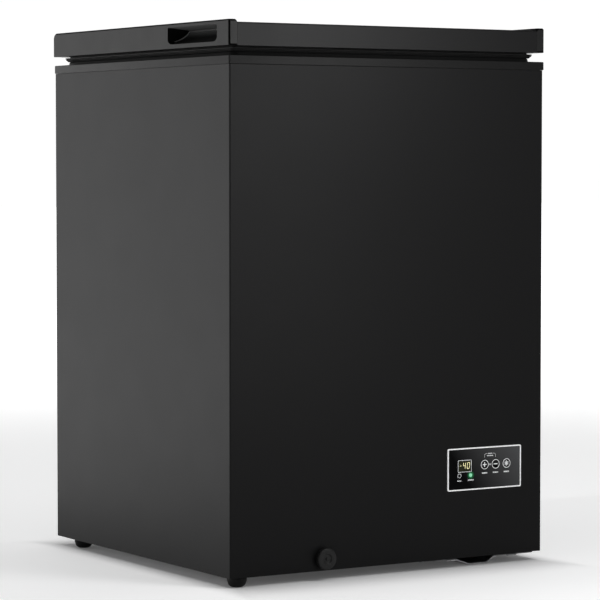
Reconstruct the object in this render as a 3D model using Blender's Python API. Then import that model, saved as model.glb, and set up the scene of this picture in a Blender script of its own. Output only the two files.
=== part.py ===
# Compact top-opening chest freezer, about 99 litres, standing on its feet.
# Lengths are in millimetres here and scaled to metres as each mesh is made.
# Origin: on the floor, under the middle of the cabinet. The front faces -Y, the lid opens upwards.
from math import cos, pi, radians, sin, tan

import bmesh
import bpy
from mathutils import Vector

MM = 0.001
GAP = 0.3  # clearance left between two pieces that touch

# cabinet
WIDTH = 574.0
DEPTH = 566.0
SHEET = 1.2
BODY_BOTTOM = 15.0
FRAME_BOTTOM = 779.0
BAND_TOP = 792.0
LIP_TOP = 797.6
BAND_PROUD = 1.5
LEDGE_Z = 772.0
LEDGE_UNDER = 766.0

# storage space
LINER_HALF_X = 217.0
LINER_HALF_Y = 213.5
LINER_WALL = 1.2
LINER_RADIUS = 20.0
FLOOR_Z = 90.0
SHELF_Z = 270.0
WELL_INSET = 2.0
WELL_RIGHT = 20.0

# compressor compartment, at the right of the base
BAY_LEFT = 70.0
BAY_ROOF = 212.0
COMPRESSOR = (178.0, 110.0)
CORD_HOLE = (112.0, 52.0)

# evaporator turns round the liner
EVAPORATOR_FIRST = 300.0
EVAPORATOR_PITCH = 85.0

# lid
LID_BOTTOM = 806.3
LID_TOP = 845.0
LID_REAR = 288.0
PANEL_TOP = 841.0
TRIM_WIDTH = 14.2
RECESS_BACK = 252.0
HINGE_X = 170.0
HINGE_Y = 294.0
HINGE_Z = 800.0

# control panel, on the front at the lower right
CONTROL = (105.0, 246.0, 121.0, 187.5)
BEZEL_LINE = 2.3
WINDOW = (125.6, 150.7, 150.6, 167.8)
BUTTONS = {"button_temp_up": 175.4, "button_temp_down": 196.4, "button_power": 217.6}
BUTTON_Z = 159.5
BUTTON_RADIUS = 8.15
INDICATORS = {"lock_indicator": 127.1, "run_indicator": 148.7}
INDICATOR_Z = 144.5
INDICATOR_RADIUS = 2.9
HOUSING = (112.0, 239.0, 128.0, 181.0)

# drain
DRAIN_X = -122.0
DRAIN_Y = -180.0
DRAIN_Z = 34.0
PIPE_RADIUS = 11.0
PIPE_BORE = 8.5

# baskets
BASKET_NEAR = 11.0
BASKET_FAR = 214.0
BASKET_HALF_Y = 209.5
BASKET_BOTTOM = 640.0
BASKET_RIM = 776.0
BASKET_WALL = 2.5

HALF_X = WIDTH / 2
HALF_Y = DEPTH / 2
INNER_X = HALF_X - SHEET
FRONT_Y = -HALF_Y
OUTER_X = HALF_X + BAND_PROUD
OUTER_Y = HALF_Y + BAND_PROUD


# ---- general tools ----

def clear_scene():
    for obj in list(bpy.data.objects):
        bpy.data.objects.remove(obj, do_unlink=True)


def make_material(name, color, roughness, metallic=0.0):
    material = bpy.data.materials.new(name)
    material.use_nodes = True
    shader = material.node_tree.nodes["Principled BSDF"]
    shader.inputs["Base Color"].default_value = (*color, 1.0)
    shader.inputs["Roughness"].default_value = roughness
    shader.inputs["Metallic"].default_value = metallic
    return material


def add_object(name, bm, material, parent=None):
    for vert in bm.verts:
        vert.co *= MM
    bmesh.ops.recalc_face_normals(bm, faces=bm.faces)
    mesh = bpy.data.meshes.new(name)
    bm.to_mesh(mesh)
    bm.free()
    mesh.materials.append(material)
    mesh.shade_smooth()
    mesh.set_sharp_from_angle(angle=radians(30))
    obj = bpy.data.objects.new(name, mesh)
    bpy.context.scene.collection.objects.link(obj)
    if parent:
        obj.parent = parent
        obj.location = -parent.location
    return obj


def joint_empty(name, x, y, z):
    empty = bpy.data.objects.new(name, None)
    empty.location = Vector((x, y, z)) * MM
    bpy.context.scene.collection.objects.link(empty)
    return empty


def boolean(obj, bm, operation="DIFFERENCE"):
    """Cuts the solid from obj, or joins it to obj. The tool itself stays hidden."""
    tool = add_object(obj.name + "_tool", bm, obj.data.materials[0])
    tool.parent = obj.parent
    tool.location = obj.location
    tool.hide_render = True
    tool.display_type = "WIRE"
    modifier = obj.modifiers.new(operation.title(), "BOOLEAN")
    modifier.operation = operation
    modifier.solver = "EXACT"
    modifier.object = tool


def lift(loop, axis, height):
    """Puts a flat loop of points at one height along an axis."""
    if axis == "X":
        return [(height, u, v) for u, v in loop]
    if axis == "Y":
        return [(u, height, v) for u, v in loop]
    return [(u, v, height) for u, v in loop]


def ring_solid(rings, closed=False, bm=None):
    """Joins rings of equal length into one closed body, capped at the ends unless it closes on itself."""
    bm = bm or bmesh.new()
    loops = [[bm.verts.new(point) for point in ring] for ring in rings]
    pairs = list(zip(loops, loops[1:]))
    if closed:
        pairs.append((loops[-1], loops[0]))
    for lower, upper in pairs:
        for i in range(len(lower)):
            j = (i + 1) % len(lower)
            bm.faces.new((lower[i], lower[j], upper[j], upper[i]))
    if not closed:
        bm.faces.new(loops[0])
        bm.faces.new(loops[-1])
    return bm


def prism(outline, axis, low, high, bm=None):
    return ring_solid([lift(outline, axis, low), lift(outline, axis, high)], bm=bm)


def box(x0, x1, y0, y1, z0, z1, bm=None):
    return prism([(x0, y0), (x1, y0), (x1, y1), (x0, y1)], "Z", z0, z1, bm=bm)


def rect_loop(u0, u1, v0, v1, radius=0.0, steps=3):
    if not radius:
        return [(u0, v0), (u1, v0), (u1, v1), (u0, v1)]
    loop = []
    corners = [(u1 - radius, v0 + radius, -90), (u1 - radius, v1 - radius, 0),
               (u0 + radius, v1 - radius, 90), (u0 + radius, v0 + radius, 180)]
    for cu, cv, start in corners:
        for step in range(steps + 1):
            angle = radians(start + 90 * step / steps)
            loop.append((cu + radius * cos(angle), cv + radius * sin(angle)))
    return loop


def circle_loop(cu, cv, radius, sides):
    angles = [2 * pi * i / sides for i in range(sides)]
    return [(cu + radius * cos(a), cv + radius * sin(a)) for a in angles]


def turned(profile, axis, centre, sides, closed=False, bm=None):
    """Turns (radius, height) points about an axis; closed makes a ring with a hole through it."""
    rings = [lift(circle_loop(*centre, radius, sides), axis, height) for radius, height in profile]
    return ring_solid(rings, closed, bm)


def round_corners(points, radius, steps):
    """Replaces each inner corner of a path by an arc."""
    points = [Vector(p) for p in points]
    path = [points[0]]
    for before, corner, after in zip(points, points[1:], points[2:]):
        into = (corner - before).normalized()
        out = (after - corner).normalized()
        turn = into.angle(out)
        start = corner - into * radius * tan(turn / 2)
        inward = (out - into * into.dot(out)).normalized()
        centre = start + inward * radius
        for step in range(steps + 1):
            angle = turn * step / steps
            path.append(centre + (into * sin(angle) - inward * cos(angle)) * radius)
    path.append(points[-1])
    return path


def bent_sheet(path, thickness):
    """Outline of a folded sheet: the path, and the path again to its left."""
    path = [Vector(p) for p in path]
    left = []
    for i, point in enumerate(path):
        into = (point - path[i - 1]).normalized() if i else (path[1] - point).normalized()
        out = (path[i + 1] - point).normalized() if i + 1 < len(path) else into
        n1 = Vector((-into.y, into.x))
        n2 = Vector((-out.y, out.x))
        left.append(point + (n1 + n2) * thickness / (1 + n1.dot(n2)))
    return [tuple(p) for p in path + left[::-1]]


def sweep(path, radius, sides, bore=0.0):
    """Tube along a path in space; a bore makes it hollow and open at both ends."""
    path = [Vector(p) for p in path]
    tangents = []
    for i in range(len(path)):
        step = path[min(i + 1, len(path) - 1)] - path[max(i - 1, 0)]
        tangents.append(step.normalized())
    normal = tangents[0].orthogonal().normalized()
    outer, inner = [], []
    for point, tangent in zip(path, tangents):
        normal = (normal - tangent * normal.dot(tangent)).normalized()
        side = tangent.cross(normal)
        spokes = [normal * cos(2 * pi * i / sides) + side * sin(2 * pi * i / sides) for i in range(sides)]
        outer.append([point + spoke * radius for spoke in spokes])
        inner.append([point + spoke * bore for spoke in spokes])
    if bore:
        return ring_solid(outer + inner[::-1], closed=True)
    return ring_solid(outer)


# ---- cabinet ----

def outer_wrap(painted):
    path = [(-HALF_X, HALF_Y), (-HALF_X, -HALF_Y), (HALF_X, -HALF_Y), (HALF_X, HALF_Y)]
    outline = bent_sheet(round_corners(path, 2.0, 3), SHEET)
    wrap = add_object("outer_wrap", prism(outline, "Z", BODY_BOTTOM, FRAME_BOTTOM - GAP), painted)
    holes = box(HOUSING[0] - 0.5, HOUSING[1] + 0.5, FRONT_Y - 5, FRONT_Y + 5,
                HOUSING[2] - 0.5, HOUSING[3] + 0.5)
    turned([(13.0, FRONT_Y - 5), (13.0, FRONT_Y + 5)], "Y", (DRAIN_X, DRAIN_Z), 24, bm=holes)
    box(HALF_X - 5, HALF_X + 5, -38, 158, 52, 158, bm=holes)
    boolean(wrap, holes)


def rear_panel(painted):
    right = INNER_X - GAP
    step_x, step_z = BAY_LEFT + 2, BAY_ROOF - 0.5
    outline = [(-right, BODY_BOTTOM), (step_x, BODY_BOTTOM), (step_x, step_z), (right, step_z),
               (right, FRAME_BOTTOM - GAP), (-right, FRAME_BOTTOM - GAP)]
    add_object("rear_panel", prism(outline, "Y", HALF_Y - SHEET, HALF_Y), painted)


def bottom_panel(galvanised):
    edge = INNER_X - GAP
    path = [(-edge, BODY_BOTTOM), (BAY_LEFT + SHEET, BODY_BOTTOM),
            (BAY_LEFT + SHEET, BAY_ROOF), (edge, BAY_ROOF)]
    outline = bent_sheet(path, SHEET)
    add_object("bottom_panel", prism(outline, "Y", -HALF_Y + 1.5, HALF_Y - 1.7), galvanised)


def top_frame(plastic):
    profile = [(0, FRAME_BOTTOM), (0, BAND_TOP), (14.6, BAND_TOP), (15.6, LIP_TOP), (55.5, LIP_TOP),
               (55.5, LEDGE_Z), (71.5, LEDGE_Z), (71.5, LEDGE_UNDER), (53.5, LEDGE_UNDER), (53.5, FRAME_BOTTOM)]
    rings = []
    for inset, z in profile:
        radius = 2.0 if inset < 14 else 12.0
        loop = rect_loop(inset - OUTER_X, OUTER_X - inset, inset - OUTER_Y, OUTER_Y - inset, radius)
        rings.append(lift(loop, "Z", z))
    add_object("top_frame", ring_solid(rings, closed=True), plastic)


def tub_rings(grow, floor_z, shelf_z, top_z):
    """Rings of the stepped storage space, from its floor up, grown outwards all round."""
    well = rect_loop(-LINER_HALF_X + WELL_INSET - grow, WELL_RIGHT + grow,
                     -LINER_HALF_Y + WELL_INSET - grow, LINER_HALF_Y - WELL_INSET + grow, LINER_RADIUS + grow)
    main = rect_loop(-LINER_HALF_X - grow, LINER_HALF_X + grow,
                     -LINER_HALF_Y - grow, LINER_HALF_Y + grow, LINER_RADIUS + grow)
    return [lift(well, "Z", floor_z), lift(well, "Z", shelf_z),
            lift(main, "Z", shelf_z), lift(main, "Z", top_z)]


def inner_liner(white_sheet):
    top = LEDGE_UNDER - GAP
    inside = tub_rings(0.0, FLOOR_Z, SHELF_Z, top)
    outside = tub_rings(LINER_WALL, FLOOR_Z - LINER_WALL, SHELF_Z - LINER_WALL, top)
    liner = add_object("inner_liner", ring_solid(inside + outside[::-1]), white_sheet)
    hole = turned([(PIPE_BORE, FLOOR_Z - 8), (PIPE_BORE, FLOOR_Z + 8)], "Z", (DRAIN_X, DRAIN_Y), 16)
    boolean(liner, hole)


def foam_body(foam):
    side, front, rear = 279.5, -275.5, HALF_Y - 1.7
    under = BODY_BOTTOM + SHEET + GAP
    well_outer = rect_loop(-side + 1, BAY_LEFT - GAP, front + 1, rear - 1, 14.0)
    main_outer = rect_loop(-side, side, front, rear, 14.0)
    rim_outer = rect_loop(-236.0, 236.0, -232.0, 232.0, 14.0)
    outside = [lift(well_outer, "Z", under), lift(well_outer, "Z", BAY_ROOF + SHEET + GAP),
               lift(main_outer, "Z", BAY_ROOF + SHEET + GAP), lift(main_outer, "Z", FRAME_BOTTOM - GAP),
               lift(rim_outer, "Z", FRAME_BOTTOM - GAP), lift(rim_outer, "Z", LEDGE_UNDER - GAP)]
    room = 9.3  # kept free round the liner for the evaporator tube
    main_inner = rect_loop(-LINER_HALF_X - LINER_WALL - room, LINER_HALF_X + LINER_WALL + room,
                           -LINER_HALF_Y - LINER_WALL - room, LINER_HALF_Y + LINER_WALL + room, 28.0)
    near = LINER_WALL + 0.4
    well = tub_rings(near, FLOOR_Z - near, SHELF_Z - near, SHELF_Z)[:2]
    inside = [lift(main_inner, "Z", LEDGE_UNDER - GAP), lift(main_inner, "Z", SHELF_Z - near), well[1], well[0]]
    body = add_object("foam_body", ring_solid(outside + inside), foam)
    channel = [(-300, 20), (-166, 20), (-166, 100), (-194, 100), (-194, 66), (-212, 48), (-300, 48)]
    boolean(body, prism(channel, "X", DRAIN_X - 14, DRAIN_X + 14))


def evaporator_coil(copper):
    turns, first_z, pitch, tube = 5, EVAPORATOR_FIRST, EVAPORATOR_PITCH, 4.0
    off = LINER_WALL + tube + 0.4
    loop = rect_loop(-LINER_HALF_X - off, LINER_HALF_X + off, -LINER_HALF_Y - off, LINER_HALF_Y + off,
                     LINER_RADIUS + off)
    loop = loop[4:] + loop[:4]  # the turn starts beside the middle of the right wall
    path = [(LINER_HALF_X + off, 0.0, first_z)]
    for turn in range(turns):
        for i, (x, y) in enumerate(loop):
            path.append((x, y, first_z + pitch * (turn + (i + 0.5) / len(loop))))
    path.append((LINER_HALF_X + off, 0.0, first_z + pitch * turns))
    add_object("evaporator_coil", sweep(path, tube, 5), copper)


def temperature_sensor(plastic):
    x = LINER_HALF_X + LINER_WALL + 3.6
    middle = EVAPORATOR_FIRST + EVAPORATOR_PITCH * 1.5
    profile = [(1.5, middle - 22), (3.0, middle - 19), (3.0, middle + 19), (1.5, middle + 22)]
    add_object("temperature_sensor", turned(profile, "Z", (x, 0.0), 8), plastic)


def condenser_coil(copper):
    levels, first_z, pitch, tube = 6, 260.0, 80.0, 2.5
    x, front, rear = INNER_X - 3.2, FRONT_Y + SHEET + 3.2, 250.0
    corners = []
    for level in range(levels):
        z = first_z + pitch * level
        run = [(-x, rear, z), (-x, front, z), (x, front, z), (x, rear, z)]
        corners += run if level % 2 == 0 else run[::-1]
    add_object("condenser_coil", sweep(round_corners(corners, 15.0, 2), tube, 5), copper)


def base_plate(galvanised):
    low, flat = 0.0, 9.8
    left, right = BAY_LEFT + SHEET + GAP, INNER_X - GAP
    path = [(left, 40), (left, flat), (137, flat), (161, low), (195, low), (209, flat), (right, flat), (right, 40)]
    add_object("compressor_base_plate", prism(bent_sheet(path, SHEET), "Y", -262, 262), galvanised)


def rear_cover(painted):
    left, right = BAY_LEFT + 2 + GAP, INNER_X - GAP
    plate = rect_loop(left, right, BODY_BOTTOM, BAY_ROOF - 0.5 - GAP)
    cover = add_object("compressor_cover", prism(plate, "Y", HALF_Y - SHEET, HALF_Y), painted)
    slots = bmesh.new()
    for column in range(2):
        x = left + 24 + 88 * column
        for row in range(7):
            z = 92 + 15 * row
            box(x, x + 76, HALF_Y - 5, HALF_Y + 5, z, z + 5, bm=slots)
    turned([(9.0, HALF_Y - 5), (9.0, HALF_Y + 5)], "Y", CORD_HOLE, 20, bm=slots)
    boolean(cover, slots)


def cord_gland(plastic):
    profile = [(4.0, 272.0), (8.4, 272.0), (8.6, HALF_Y + GAP), (13.0, HALF_Y + GAP), (13.0, 286.0), (8.0, 290.0),
               (4.0, 290.0)]
    add_object("cord_gland", turned(profile, "Y", CORD_HOLE, 20, closed=True), plastic)


def vent_grille(plastic):
    x = HALF_X + GAP
    plate = add_object("vent_grille", prism(rect_loop(-48, 168, 42, 168, 6.0), "X", x, x + 2.0), plastic)
    slots = bmesh.new()
    for row in range(9):
        z = 54 + 12 * row
        box(x - 5, x + 5, -34, 154, z, z + 6, bm=slots)
    boolean(plate, slots)


def feet(plastic):
    profile = [(7.0, 0.0), (10.5, 1.2), (13.4, 5.0), (15.0, 10.0), (15.0, BODY_BOTTOM - GAP)]
    for name, y in (("foot_front_left", -267.0), ("foot_rear_left", 229.5)):
        add_object(name, turned(profile, "Z", (-266.0, y), 20), plastic)


# ---- cooling unit ----

def compressor(black_steel, rubber, plastic):
    x, y = COMPRESSOR
    shell = [(52, 26.6), (68, 33), (75, 52), (75, 99), (78, 99), (78, 103), (74, 103), (73, 140), (62, 166),
             (40, 180), (12, 186)]
    add_object("compressor", turned(shell, "Z", COMPRESSOR, 24), black_steel)
    add_object("compressor_foot_plate", prism(rect_loop(x - 82, x + 82, y - 68, y + 68, 12.0), "Z", 24.0, 26.3),
               black_steel)
    grommet = [(9, 11.3), (9, 15), (6, 16.5), (6, 19), (9, 20.5), (9, 23.7)]
    for i, (side, depth) in enumerate(((-1, -1), (1, -1), (1, 1), (-1, 1)), start=1):
        centre = (x + side * 66, y + depth * 55)
        add_object(f"mount_grommet_{i}", turned(grommet, "Z", centre, 14), rubber)
    relay = rect_loop(x - 28, x + 28, y - 110, y - 78.5, 4.0)
    add_object("start_relay_cover", prism(relay, "Z", 58, 122), plastic)


def pipes(copper):
    x, y = COMPRESSOR
    roof = BAY_ROOF - 0.4
    suction = [(x - 76, y, 120), (88, y, 120), (88, y, roof)]
    discharge = [(x + 54.5, y - 54.5, 130), (250, y - 72, 130), (250, y - 72, roof)]
    add_object("suction_pipe", sweep(round_corners(suction, 10, 3), 4.0, 8), copper)
    add_object("discharge_pipe", sweep(round_corners(discharge, 10, 3), 3.0, 8), copper)
    drier = [(2.5, 62), (2.5, 84), (8, 92), (8, 168), (2.5, 178), (2.5, roof)]
    add_object("filter_drier", turned(drier, "Z", (98.0, -120.0), 12), copper)


# ---- drain ----

def drain(plastic, pull_empty, lift_empty):
    path = [(DRAIN_X, FRONT_Y + 0.5, DRAIN_Z), (DRAIN_X, DRAIN_Y, DRAIN_Z),
            (DRAIN_X, DRAIN_Y, FLOOR_Z - LINER_WALL - GAP)]
    add_object("drain_pipe", sweep(round_corners(path, 20, 4), PIPE_RADIUS, 16, bore=PIPE_BORE), plastic)
    face = FRONT_Y - GAP
    collar = [(PIPE_RADIUS + GAP, face - 1.5), (15.5, face - 1.5), (15.5, face), (12.7, face),
              (12.7, face + 8), (PIPE_RADIUS + GAP, face + 8)]
    add_object("drain_collar", turned(collar, "Y", (DRAIN_X, DRAIN_Z), 24, closed=True), plastic)
    back, nose = face - 1.8, FRONT_Y - 11.0
    cap = [(2.2, nose - 0.8), (2.2, nose + 1.6), (7.4, nose + 1.6), (7.4, nose), (15.2, nose),
           (16.25, nose + 1.2), (16.25, back), (8.1, back), (8.1, back + 14), (5.0, back + 17)]
    add_object("drain_plug_outer", turned(cap, "Y", (DRAIN_X, DRAIN_Z), 28), plastic, pull_empty)
    plug = [(6.0, 70), (8.0, 74), (8.0, FLOOR_Z + GAP), (14, FLOOR_Z + GAP), (14, FLOOR_Z + 2.5), (5, FLOOR_Z + 3.2),
            (3.5, FLOOR_Z + 5), (4.5, FLOOR_Z + 9)]
    add_object("drain_plug_inner", turned(plug, "Z", (DRAIN_X, DRAIN_Y), 20), plastic, lift_empty)


# ---- control panel ----

def control_panel(silver, gloss, plastic, board_green, glass, lens):
    x0, x1, z0, z1 = CONTROL
    face = FRONT_Y - GAP
    line = BEZEL_LINE
    outer = rect_loop(x0, x1, z0, z1, 2.5)
    inner = rect_loop(x0 + line, x1 - line, z0 + line, z1 - line, 1.5)
    bezel = [lift(outer, "Y", face), lift(outer, "Y", face - 2.1), lift(inner, "Y", face - 2.1), lift(inner, "Y", face)]
    add_object("control_bezel", ring_solid(bezel, closed=True), silver)
    edge = line + GAP
    sheet = rect_loop(x0 + edge, x1 - edge, z0 + edge, z1 - edge, 1.2)
    fascia = add_object("control_fascia", prism(sheet, "Y", face - 1.5, face), gloss)
    holes = box(WINDOW[0], WINDOW[1], face - 5, face + 5, WINDOW[2], WINDOW[3])
    ends = (face - 5, face + 5)
    for x in BUTTONS.values():
        turned([(BUTTON_RADIUS + GAP, end) for end in ends], "Y", (x, BUTTON_Z), 24, bm=holes)
    for x in INDICATORS.values():
        turned([(INDICATOR_RADIUS + GAP, end) for end in ends], "Y", (x, INDICATOR_Z), 16, bm=holes)
    boolean(fascia, holes)

    wall = 1.5
    outside = rect_loop(*HOUSING, 3.0)
    inside = rect_loop(HOUSING[0] + wall, HOUSING[1] - wall, HOUSING[2] + wall, HOUSING[3] - wall, 1.5)
    tray = [lift(outside, "Y", -246.0), lift(outside, "Y", FRONT_Y), lift(inside, "Y", FRONT_Y),
            lift(inside, "Y", -246.0 - wall)]
    add_object("control_housing", ring_solid(tray), plastic)
    board = rect_loop(HOUSING[0] + 3, HOUSING[1] - 3, HOUSING[2] + 3, HOUSING[3] - 3)
    add_object("control_board", prism(board, "Y", -262.0, -260.4), board_green)
    display = rect_loop(WINDOW[0] + 0.4, WINDOW[1] - 0.4, WINDOW[2] + 0.4, WINDOW[3] - 0.4)
    add_object("display_module", prism(display, "Y", face - 1.1, -262.3), glass)
    for name, x in INDICATORS.items():
        led = [(INDICATOR_RADIUS - 0.8, face - 2.0), (INDICATOR_RADIUS, face - 1.4), (INDICATOR_RADIUS, -262.3)]
        add_object(name, turned(led, "Y", (x, INDICATOR_Z), 16), lens)


def buttons(gloss):
    front = FRONT_Y - GAP - 2.0
    for name, x in BUTTONS.items():
        axis = joint_empty(name + "_axis", x, front, BUTTON_Z)
        key = [(BUTTON_RADIUS - 0.6, front), (BUTTON_RADIUS, front + 0.4), (BUTTON_RADIUS, front + 4.0),
               (3.0, front + 4.0), (3.0, -263.4)]
        add_object(name, turned(key, "Y", (x, BUTTON_Z), 24), gloss, axis)


# ---- lid ----

def lid_trim(side, plastic, lid_axis):
    """End cap of the lid with its finger recess; side is -1 at the left and 1 at the right."""
    name = "lid_trim_left" if side < 0 else "lid_trim_right"
    corners = [((LID_REAR - 10, LID_TOP - 10), 10.0, 0), ((-OUTER_Y + 2, LID_TOP - 2), 2.0, 90)]
    outline = [(-OUTER_Y, LID_BOTTOM), (LID_REAR, LID_BOTTOM)]
    for (cy, cz), radius, start in corners:
        for step in range(5):
            angle = radians(start + 90 * step / 4)
            outline.append((cy + radius * cos(angle), cz + radius * sin(angle)))
    outside, inside = side * OUTER_X, side * (OUTER_X - TRIM_WIDTH)
    trim = add_object(name, prism(outline, "X", outside, inside), plastic, lid_axis)
    bevel = trim.modifiers.new("Bevel", "BEVEL")
    bevel.width = 1.2 * MM
    bevel.segments = 2
    bevel.angle_limit = radians(50)
    boolean(trim, box(*sorted((side * RECESS_BACK, side * 275.5)), -252.5, -95.5, 809.5, 838.5), "UNION")
    scoop = [(290.0, -250.0, -98.0, 812.4, 839.4, 7.0), (284.0, -247.2, -100.8, 813.4, 838.2, 7.0),
             (268.0, -242.0, -106.0, 817.5, 836.5, 7.0), (256.0, -237.5, -111.0, 826.5, 834.0, 3.5)]
    rings = [lift(rect_loop(y0, y1, z0, z1, radius), "X", side * x) for x, y0, y1, z0, z1, radius in scoop]
    boolean(trim, ring_solid(rings))


def lid_shell(painted, white, foam, rubber, lid_axis):
    end = OUTER_X - TRIM_WIDTH - GAP
    path = [(LID_REAR, LID_BOTTOM), (LID_REAR, PANEL_TOP), (-OUTER_Y, PANEL_TOP), (-OUTER_Y, LID_BOTTOM)]
    outline = bent_sheet(round_corners(path, 2.5, 3), SHEET)
    add_object("lid_outer_panel", prism(outline, "X", -end, end), painted, lid_axis)

    flange = (-end, end, -OUTER_Y + SHEET + GAP, LID_REAR - SHEET - GAP)
    wall = 1.5
    low = LID_BOTTOM - 16.0
    rings = [lift(rect_loop(-214, 214, -210, 210, 14.0), "Z", low),
             lift(rect_loop(-221, 221, -217, 217, 14.0), "Z", low + 2),
             lift(rect_loop(-226, 226, -222, 222, 14.0), "Z", LID_BOTTOM),
             lift(rect_loop(*flange, 3.0), "Z", LID_BOTTOM),
             lift(rect_loop(*flange, 3.0), "Z", LID_BOTTOM + wall),
             lift(rect_loop(-224.4, 224.4, -220.4, 220.4, 13.0), "Z", LID_BOTTOM + wall),
             lift(rect_loop(-219.4, 219.4, -215.4, 215.4, 13.0), "Z", low + 3.4),
             lift(rect_loop(-213, 213, -209, 209, 13.0), "Z", low + wall)]
    add_object("lid_inner_panel", ring_solid(rings), white, lid_axis)

    above = LID_BOTTOM + wall + GAP
    foam_end = RECESS_BACK - 0.6
    foam_top = PANEL_TOP - SHEET - GAP - 0.3
    rings = [lift(rect_loop(-212, 212, -208, 208, 13.0), "Z", low + wall + GAP),
             lift(rect_loop(-218.8, 218.8, -214.8, 214.8, 13.0), "Z", low + 4),
             lift(rect_loop(-223.8, 223.8, -219.8, 219.8, 13.0), "Z", above),
             lift(rect_loop(-foam_end, foam_end, flange[2] + 0.2, flange[3] - 0.2, 4.0), "Z", above),
             lift(rect_loop(-foam_end, foam_end, flange[2] + 0.2, flange[3] - 0.2, 4.0), "Z", foam_top)]
    add_object("lid_foam", ring_solid(rings), foam, lid_axis)

    top, foot = LID_BOTTOM - GAP, LIP_TOP + GAP
    profile = [(17.5, top), (17.5, top - 1.6), (11.5, top - 2.1), (12.2, top - 5), (14.5, foot), (36, foot),
               (38, foot + 4), (36, top)]
    rings = []
    for inset, z in profile:
        loop = rect_loop(inset - OUTER_X, OUTER_X - inset, inset - OUTER_Y, OUTER_Y - inset, 6.0)
        rings.append(lift(loop, "Z", z))
    add_object("lid_gasket", ring_solid(rings, closed=True), rubber, lid_axis)


# ---- hinges ----

def hinge(side, steel, lid_axis):
    label = "left" if side < 0 else "right"
    x = side * HINGE_X
    rear = HALF_Y + GAP
    path = [(x - 24, HINGE_Y + 5), (x - 24, rear), (x + 24, rear), (x + 24, HINGE_Y + 5)]
    base = add_object(f"hinge_base_{label}", prism(bent_sheet(path, 1.5), "Z", 690, HINGE_Z + 5), steel)
    ends = (x - 30, x + 30)
    ear = [(280, 776.5), (289, 776.5)]
    for step in range(5):
        angle = radians(180 - 45 * step)
        ear.append((HINGE_Y + 5.0 * cos(angle), HINGE_Z + 5.0 * sin(angle)))
    ear += [(310, HINGE_Z), (310, 815), (280, 815)]
    boolean(base, prism(ear, "X", *ends))
    boolean(base, prism([(310, 680), (310, 760), (299.5, 760), (288, 712), (288, 680)], "X", *ends))
    boolean(base, turned([(2.9, end) for end in ends], "X", (HINGE_Y, HINGE_Z), 12))

    arm = [(288.3, 841), (288.3, HINGE_Z)]
    for step in range(12):
        angle = radians(180 + 310 * step / 11)
        arm.append((HINGE_Y + 5.7 * cos(angle), HINGE_Z + 5.7 * sin(angle)))
    arm.append((290.3, 841))
    plate = add_object(f"hinge_arm_{label}", prism(arm[:1] + arm[2:], "X", x - 20.5, x + 20.5), steel, lid_axis)
    boolean(plate, turned([(2.9, x - 30), (2.9, x + 30)], "X", (HINGE_Y, HINGE_Z), 12))

    pin = [(3.8, x - 26.5), (3.8, x - 24.3), (2.5, x - 24.3), (2.5, x + 24.3), (3.8, x + 24.3), (3.8, x + 26.5)]
    add_object(f"hinge_pin_{label}", turned(pin, "X", (HINGE_Y, HINGE_Z), 12), steel)

    turns, low, high = 5, 700.0, 772.0
    points = turns * 7
    helix = []
    for i in range(points + 1):
        angle = 2 * pi * turns * i / points
        z = low + (high - low) * i / points
        helix.append((x + 8.0 * cos(angle), 290.6 + 4.0 * sin(angle), z))
    add_object(f"hinge_spring_{label}", sweep(helix, 0.9, 4), steel)


# ---- baskets ----

def basket(side, plastic, axis):
    """Slotted tub that hangs by its front and rear lips; side is -1 at the left and 1 at the right."""
    name = "basket_left" if side < 0 else "basket_right"
    x0, x1 = sorted((side * BASKET_NEAR, side * BASKET_FAR))
    middle = (x0 + x1) / 2
    y = BASKET_HALF_Y
    wall = BASKET_WALL

    def loop(inset, radius):
        return rect_loop(x0 + inset, x1 - inset, inset - y, y - inset, radius, 2)

    taper = 7.0
    rings = [lift(loop(taper + 4, 8.0), "Z", BASKET_BOTTOM), lift(loop(taper, 10.0), "Z", BASKET_BOTTOM + 4),
             lift(loop(3.5, 12.0), "Z", BASKET_RIM - 6), lift(loop(0, 14.0), "Z", BASKET_RIM - 5),
             lift(loop(0, 14.0), "Z", BASKET_RIM), lift(loop(3.5 + wall, 10.0), "Z", BASKET_RIM),
             lift(loop(taper + wall, 8.0), "Z", BASKET_BOTTOM + 5), lift(loop(taper + 6, 7.0), "Z", BASKET_BOTTOM + wall)]
    tub = add_object(name, ring_solid(rings), plastic, axis)
    lips = bmesh.new()
    for end in (-1, 1):
        near, far = sorted((end * (y - 5), end * 227.5))
        box(middle - 86, middle + 86, near, far, LEDGE_Z + GAP, BASKET_RIM - 0.6, bm=lips)
    boolean(tub, lips, "UNION")
    slots = bmesh.new()
    for z in (656.0, 708.0):
        for column in range(6):
            centre = -155.0 + 62.0 * column
            box(x0 - 10, x1 + 10, centre - 23, centre + 23, z, z + 40, bm=slots)
        for column in (-1, 0, 1):
            centre = middle + 56.0 * column
            for end in (-1, 1):
                box(centre - 21, centre + 21, *sorted((end * (y - 18), end * (y + 18))), z, z + 40, bm=slots)
    for row in range(4):
        for column in (-1, 1):
            centre_x, centre_y = middle + 40.0 * column, -144.0 + 96.0 * row
            box(centre_x - 30, centre_x + 30, centre_y - 38, centre_y + 38,
                BASKET_BOTTOM - 5, BASKET_BOTTOM + 8, bm=slots)
    boolean(tub, slots)


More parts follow.
